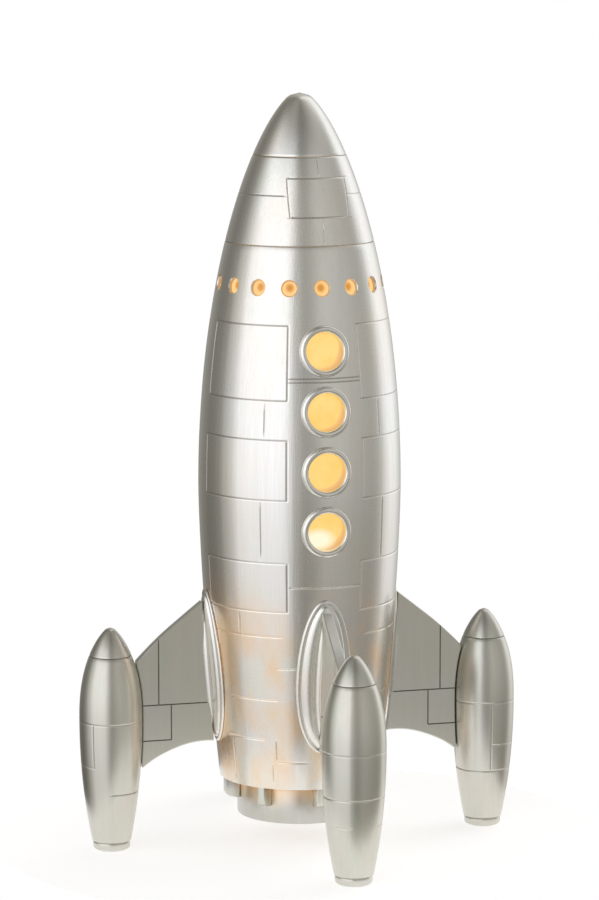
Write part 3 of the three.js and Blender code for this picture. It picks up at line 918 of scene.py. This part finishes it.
def smooth_line(points, steps=12):
    """A Catmull-Rom curve through the points."""
    padded = [points[0], *points, points[-1]]
    line = []
    for a, b, c, d in zip(padded, padded[1:], padded[2:], padded[3:]):
        for i in range(steps):
            t = i / steps
            line.append(tuple(
                0.5 * (2 * q + (r - p) * t + (2 * p - 5 * q + 4 * r - s) * t**2
                       + (3 * q - p - 3 * r + s) * t**3)
                for p, q, r, s in zip(a, b, c, d)
            ))
    return line + [points[-1]]


def hull_side(z):
    return hull_radius(z) + ROOT_RISE + GAP


def pod_side(z):
    return POD_CIRCLE - pod_radius(z) - GAP


def between_hull_and_pod(line):
    return [(r, z) for r, z in line if hull_side(z) <= r <= pod_side(z)]


top_edge = between_hull_and_pod(smooth_line(FIN_TOP))
arch_edge = between_hull_and_pod(smooth_line(FIN_ARCH))


def run(edge_at, start, end, steps=26):
    """Points on an end of the fin, between two heights."""
    heights = [start + (end - start) * i / steps for i in range(1, steps)]
    return [(edge_at(z), z) for z in heights]


fin_outline = top_edge + run(pod_side, top_edge[-1][1], arch_edge[0][1])
fin_outline += arch_edge + run(hull_side, arch_edge[-1][1], top_edge[0][1])
print(f"fin outline: {len(fin_outline)} points")

# %% [markdown]
# The groove bars are cubes, stretched along the line and turned 45 degrees, so an edge
# points into the fin.

# %% Fins
FIN_LINES = [
    ((98, 150), (98, 96.5)), ((58, 96), (113, 96)), ((89.5, 95.5), (89.5, 72)),
    ((89.5, 72), (113, 72)),
]
GROOVE_SIDE = 0.6 * MM
# The cut faces of the fin's panel lines take painted shade: a dark colour, varied by a noise,
# standing for the shade inside the grooves.
fin_line_painted_shade, tree, shader = new_finish("fin_line_painted_shade")
cloud = noise_field(tree, object_place(tree), (300, 300, 60), 3)
fin_line_shade_colour = mix_colours(tree, cloud, (0.16, 0.15, 0.13, 1), (0.34, 0.33, 0.29, 1))
feed(tree, shader, "Base Color", fin_line_shade_colour)
feed(tree, shader, "Roughness", cloud * 0.2 + 0.4)
shader.inputs["Metallic"].default_value = 0.8


def groove_bar(start, end, face_y):
    bar = bmesh.new()
    bmesh.ops.create_cube(bar, size=1)
    along = Vector((end[0] - start[0], 0, end[1] - start[1])) * MM
    middle = Vector((start[0] + end[0], 0, start[1] + end[1])) * MM / 2
    bar.transform(Matrix.Diagonal((along.length, GROOVE_SIDE, GROOVE_SIDE, 1)))
    bar.transform(Matrix.Rotation(math.pi / 4, 4, "X"))
    bar.transform(Matrix.Rotation(-math.atan2(along.z, along.x), 4, "Y"))
    return bar, Matrix.Translation(middle + Vector((0, face_y, 0)))


def plate_from(outline, thickness, bevel_width, segments=2):
    """A flat plate in the XZ plane with a bevelled rim."""
    work = bmesh.new()
    points = [work.verts.new((r, -thickness / 2, z)) for r, z in outline]
    edges = [work.edges.new(pair) for pair in zip(points, points[1:] + points[:1])]
    faces = bmesh.ops.contextual_create(work, geom=edges)["faces"]
    grown = bmesh.ops.extrude_face_region(work, geom=faces)
    moved = [p for p in grown["geom"] if isinstance(p, bmesh.types.BMVert)]
    bmesh.ops.translate(work, verts=moved, vec=(0, thickness, 0))
    bmesh.ops.recalc_face_normals(work, faces=work.faces)
    flat = [e for e in work.edges if abs(e.verts[0].co.y - e.verts[1].co.y) < 1e-7]
    bmesh.ops.bevel(
        work, geom=flat, offset=bevel_width, segments=segments, profile=0.5,
        affect="EDGES", material=-1, clamp_overlap=True,
    )
    bmesh.ops.recalc_face_normals(work, faces=work.faces)
    return work


for side, degrees in SIDES.items():
    fin_work = plate_from(fin_outline, FIN_THICK, 1.5 * MM, 3)
    fin = make_object(fin_work, f"fin_{side}_plate", fin_silver)
    bars = []
    for start, end in FIN_LINES:
        bars += [groove_bar(start, end, FIN_THICK / 2), groove_bar(start, end, -FIN_THICK / 2)]
    cut(fin, joined(bars), [fin_line_painted_shade], crossing=True, crease=14)
    fin.data.transform(Matrix.Rotation(math.radians(degrees - 90), 4, "Z"))
    put(fin, f"fin_{side}")
print("fins ready")

# %% [markdown]
# ## Pods
# The lamp stands on four slim pods. Each is an engraved shell with a pointed nose, a turned
# foot and a felt pad. They are alike, so each is made at the middle, facing outwards, and
# then moved out to its place.

# %% Pods
POD_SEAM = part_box("pod_nose_front")[0].z
FOOT_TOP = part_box("pod_foot_front")[1].z
# The lines below the widest ring differ from pod to pod: first rings, then uprights.
POD_LINES = {
    "front": ([(58, -180, 180), (40, -52, -25), (40, 42, 75)], []),
    "rear": ([(58, -180, 180), (40, -75, -42), (40, 25, 52)], []),
    "left": ([(40, 79, 180), (58, -60, 42.6)], [(42.6, 58, 87.4), (-60, 58, 87.4)]),
    "right": ([(40, -180, 180), (58.2, -91, -30)], [(-91, 40, 87.4), (60, 40, 87.4)]),
}
foot_outline = mm([
    (11.4, 0.5), (12.0, 1.2), (12.3, 2.4), (12.3, 4.6), (12.1, 5.4), (11.6, 5.8),
    (7.2, 5.8), (7.2, 1.9), (9.5, 1.9), (9.5, 0.5),
])
pad_outline = mm([(0, 0), (8.9, 0), (9.2, 0.35), (9.2, 1.3), (8.9, 1.6), (0, 1.6)])

felt, tree, shader = new_finish("dark_felt")
fibres = noise_field(tree, object_place(tree), (1500, 1500, 1500), 4)
fluff = mix_colours(tree, fibres, (0.02, 0.02, 0.02, 1), (0.07, 0.065, 0.06, 1))
feed(tree, shader, "Base Color", fluff)
shader.inputs["Roughness"].default_value = 0.95

for side, degrees in SIDES.items():
    pod_rings, pod_uprights = POD_LINES[side]
    shell = engraved(
        pod_radius, FOOT_TOP + GAP, POD_SEAM - GAP,
        hollow(pod_radius, POD_WALL, POD_SEAM - GAP, FOOT_TOP + GAP),
        [(z * MM, *reach) for z, *reach in [(87.4, -180, 180)] + pod_rings],
        [(angle, low * MM, high * MM) for angle, low, high in pod_uprights],
        row=3.0 * MM, column=7.5, rolled=[POD_SEAM - GAP],
    )
    nose_hollow = [(0, POD_TOP - 2.4 * MM)]
    nose_hollow += hollow(pod_radius, POD_WALL, POD_TOP - 5 * MM, POD_SEAM, 4)
    nose = engraved(
        pod_radius, POD_SEAM, POD_TOP, nose_hollow, [], [],
        row=1.2 * MM, column=7.5, rolled=[POD_SEAM],
    )
    pieces = [
        (shell, "pod_shell", fin_silver, "silver_fins"),
        (nose, "pod_nose", fin_silver, "silver_fins"),
        (turned(foot_outline, 64), "pod_foot", fin_silver, "silver_fins"),
        (turned(pad_outline, 64), "foot_pad", felt, "felt"),
    ]
    away = Matrix.Rotation(math.radians(degrees), 4, "Z") @ Matrix.Translation((0, -POD_CIRCLE, 0))
    for work, name, material, slot in pieces:
        work.transform(away)
        put(make_object(work, f"{name}_{side}_piece", material), f"{name}_{side}")
print("pods ready")

# %% [markdown]
# ## The tail
# A plain turned ring hangs below the hull and carries the light unit. It is held by eight
# upright ribs, each with a rounded lower corner. The ring has a painted glow where the
# bulb's light comes down between it and the hull.

# %% Nozzle ring and ribs
NOZZLE_R = 41.9 * MM
CORD_AZIMUTH = 22.5
CORD_Z = 25.5 * MM
SCREW_REACH = 34.4 * MM
nozzle_outline = mm([
    (41.2, 17.8), (41.7, 18.0), (41.9, 18.6), (41.9, 47.0), (41.5, 47.5), (39.2, 47.5),
    (39.0, 47.2), (39.0, 38.2), (31.0, 38.2), (31.0, 36.0), (39.0, 36.0), (39.0, 18.2),
    (39.3, 17.8),
])


def painted_nozzle_glow(tree, place, groove):
    """Painted glow for the light that falls on the top of the ring, between it and the hull."""
    cloud = noise_field(tree, place, (55, 55, 40), 3)
    return (three_parts(tree, place)[2] + cloud * 0.014).between(0.036, 0.056), 0.42


nozzle_silver_painted_glow = silver("nozzle_silver_painted_glow", (0.62, 0.61, 0.575), 0.30, painted_nozzle_glow)
ring = make_object(turned(nozzle_outline, 128), "nozzle", nozzle_silver_painted_glow)
cord_turn = Matrix.Rotation(math.radians(CORD_AZIMUTH), 4, "Z")
cord_hole = turned(mm([(0, -8), (5.3, -8), (5.3, 8), (0, 8)]), 32)
sideways = Matrix.Translation((0, NOZZLE_R, CORD_Z)) @ Matrix.Rotation(-math.pi / 2, 4, "X")
holes = [(cord_hole, cord_turn @ sideways)]
for side in (-1, 1):
    screw_hole = turned(mm([(0, 31), (2.1, 31), (2.1, 44), (0, 44)]), 24)
    holes.append((screw_hole, Matrix.Translation((side * SCREW_REACH, 0, 0))))
cut(ring, joined(holes), [nozzle_silver_painted_glow])
put(ring, "nozzle_ring")

rib_low, rib_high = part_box("nozzle_rib_1")
RIB_BOTTOM = rib_low.z
RIB_TOP = rib_high.z
RIB_REACH = 52.3 * MM
RIB_WIDTH = 5.4 * MM
CORNER_DEEP = 10 * MM
CORNER_HIGH = 5 * MM
rib_outline = [(NOZZLE_R + 0.45 * MM, RIB_TOP), (RIB_REACH, RIB_TOP)]
for i in range(8):
    swing = math.pi / 2 * i / 7
    rib_outline.append((
        RIB_REACH - CORNER_DEEP * (1 - math.cos(swing)),
        RIB_BOTTOM + CORNER_HIGH * (1 - math.sin(swing)),
    ))
print("nozzle ready")

# %% [markdown]
# A rib is a plate like a fin, so the same tool makes it: fill the outline, push it out, bevel
# the rim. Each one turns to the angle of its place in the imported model.

# %% Ribs
RIBS = 8
for i in range(1, RIBS + 1):
    azimuth = math.atan2(*[sum(c[k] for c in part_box(f"nozzle_rib_{i}")) for k in (1, 0)])
    rib = plate_from(rib_outline, RIB_WIDTH, 0.6 * MM)
    rib.transform(Matrix.Rotation(azimuth, 4, "Z"))
    put(make_object(rib, f"rib_{i}", fin_silver), f"nozzle_rib_{i}")
print(f"{RIBS} ribs ready")

# %% [markdown]
# ## Inside: the light unit
# Under the hull a steel strap is screwed to a ledge in the ring. A threaded tube stands on
# it with the lamp holder and a small round bulb on top. All of it slides down and out when
# the bulb is changed, so it gets real surfaces too: zinc-plated steel with its faint
# crystal pattern, brass with fine scratches, white plastic, rubber, and opal glass that
# glows most in the middle.


# %% Finishes inside
def plain_finish(name, dark, light, roughness, metallic, scale, bump=0.05):
    """A finish whose colour and roughness wander between two values with a noise."""
    material, tree, shader = new_finish(name)
    place = object_place(tree)
    cloud = noise_field(tree, place, scale, 4)
    scratches = noise_field(tree, place, (scale[0] * 9, scale[1] * 9, scale[2] * 2), 2)
    amount = cloud.between(0.3, 0.7) * 0.7 + scratches * 0.3
    feed(tree, shader, "Base Color", mix_colours(tree, amount, (*dark, 1), (*light, 1)))
    feed(tree, shader, "Roughness", scratches * 0.15 + cloud * 0.1 + (roughness - 0.12))
    shader.inputs["Metallic"].default_value = metallic
    sockets = {"Height": scratches, "Strength": bump, "Distance": 0.0004}
    feed(tree, shader, "Normal", add_node(tree, "ShaderNodeBump", {}, sockets))
    return material


zinc = plain_finish(
    "zinc_steel", (0.50, 0.51, 0.53), (0.68, 0.69, 0.70), 0.38, 1, (240, 240, 240),
)
brass = plain_finish("brass", (0.62, 0.43, 0.17), (0.80, 0.60, 0.28), 0.30, 1, (150, 150, 60))
plastic = plain_finish(
    "white_plastic", (0.76, 0.75, 0.71), (0.82, 0.81, 0.78), 0.42, 0, (90, 90, 90),
)
rubber = plain_finish(
    "rubber", (0.02, 0.02, 0.02), (0.05, 0.05, 0.05), 0.7, 0, (400, 400, 400), 0.2,
)
BULB_MIDDLE = 193 * MM
opal, tree, shader = glow_finish("opal_glass", 0.8, 0.22)
place = object_place(tree)
shader.inputs["Base Color"].default_value = (0.40, 0.37, 0.32, 1)
cloud = noise_field(tree, place, (45, 45, 45), 2)
height = three_parts(tree, place)[2] + cloud * 0.008
from_middle = height.math("ABSOLUTE", height - BULB_MIDDLE)
fade = from_middle.between(0.006, 0.028)
light = mix_colours(tree, fade, (1.0, 0.93, 0.78, 1), (0.98, 0.70, 0.38, 1))
feed(tree, shader, "Emission Color", light)

CAD_FINISHES = {
    "cord_grommet": rubber, "lamp_bracket": zinc, "bracket_screw_1": zinc,
    "bracket_screw_2": zinc, "lock_nut_lower": brass, "lock_nut_upper": brass,
}
for node, finish in CAD_FINISHES.items():
    for material_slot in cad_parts[node].material_slots:
        material_slot.material = finish
print(f"{len(CAD_FINISHES)} parts keep their CAD shape")

# %% [markdown]
# The turned parts are made again with more steps than a solid model needs. The tube and the
# bulb's cap get screw threads, drawn as a row of small ridges.


# %% Holder and bulb
def thread(radius, depth, bottom, top, pitch):
    """Ridges from bottom to top, in millimetres: two points for each turn of the thread."""
    turns = int((top - bottom) / pitch)
    points = []
    for i in range(turns):
        points += [(radius - depth, bottom + i * pitch), (radius, bottom + (i + 0.5) * pitch)]
    return points


STEM_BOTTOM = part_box("lamp_stem")[0].z / MM
STEM_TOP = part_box("lamp_stem")[1].z / MM
HOLDER_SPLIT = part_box("holder_sleeve")[0].z / MM
HOLDER_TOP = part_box("holder_sleeve")[1].z / MM
CAP_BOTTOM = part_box("bulb_cap")[0].z / MM
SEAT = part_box("bulb_glass")[0].z / MM
BULB_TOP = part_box("bulb_glass")[1].z / MM
BULB_R = 22.5
stem_outline = [(3.4, STEM_BOTTOM), *thread(5, 0.35, STEM_BOTTOM, STEM_TOP, 1.2), (3.4, STEM_TOP)]
base_outline = [
    (3.4, STEM_TOP + 0.3), (5.3, STEM_TOP + 0.3), (5.3, STEM_TOP - 9), (7.6, STEM_TOP - 9),
    (8, STEM_TOP - 8.6), (8, STEM_TOP - 5), (9.2, STEM_TOP - 3.2), (14, STEM_TOP - 0.6),
    (14.5, STEM_TOP + 0.4), (14.5, HOLDER_SPLIT - 0.3), (12.5, HOLDER_SPLIT - 0.3),
    (12.5, STEM_TOP + 2.3), (3.4, STEM_TOP + 2.3),
]
sleeve_outline = [
    (14.1, HOLDER_SPLIT), (14.5, HOLDER_SPLIT + 0.5), (14.5, HOLDER_TOP - 3),
    (14.2, HOLDER_TOP - 1.2), (13, HOLDER_TOP), (11.5, HOLDER_TOP), (11.5, HOLDER_SPLIT + 4),
    (4.7, HOLDER_SPLIT + 4), (4.7, HOLDER_SPLIT),
]
screw_shell_outline = [
    (7.7, HOLDER_SPLIT + 4.3), (11.2, HOLDER_SPLIT + 4.3), (11.2, HOLDER_SPLIT + 6),
    *thread(8.9, 0.3, HOLDER_SPLIT + 8, HOLDER_TOP - 6, 2.8), (7.7, HOLDER_TOP - 6),
]
cap_outline = [
    (0, CAP_BOTTOM), (2.4, CAP_BOTTOM), (3, CAP_BOTTOM + 2), (6.1, CAP_BOTTOM + 4),
    *thread(6.7, 0.5, CAP_BOTTOM + 5, HOLDER_TOP - 1, 2.8), (6.7, HOLDER_TOP + 1),
    (5.9, HOLDER_TOP + 1), (5.9, HOLDER_TOP - 4), (0, HOLDER_TOP - 4),
]
globe_z = BULB_TOP - BULB_R


def globe(radius):
    """The round of the bulb, from its neck up to the top."""
    start = math.asin(-math.sqrt(BULB_R**2 - 10.6**2) / BULB_R)
    swings = [start + (math.pi / 2 - start) * i / 28 for i in range(29)]
    return [(radius * math.cos(a), globe_z + radius * math.sin(a)) for a in swings]


glass_outline = [(6.7, SEAT), (8.0, SEAT + 1.2), (8.6, SEAT + 2.5), *globe(BULB_R)]
glass_outline += [*reversed(globe(BULB_R - 1)), (7.6, SEAT + 3.2), (5.7, SEAT)]

inside_pieces = [
    ("lamp_stem", stem_outline, zinc, "zinc_steel", "light_unit"),
    ("holder_base", base_outline, plastic, "white_plastic", "light_unit"),
    ("holder_sleeve", sleeve_outline, plastic, "white_plastic", "light_unit"),
    ("holder_screw_shell", screw_shell_outline, brass, "brass", "light_unit"),
    ("bulb_cap", cap_outline, brass, "brass", "bulb"),
    ("bulb_glass", glass_outline, opal, "opal_glass", "bulb"),
]
for node, outline, finish, slot, body in inside_pieces:
    put(make_object(turned(mm(outline), 64), f"{node}_piece", finish), node, body)
print(f"{len(inside_pieces)} turned parts inside")
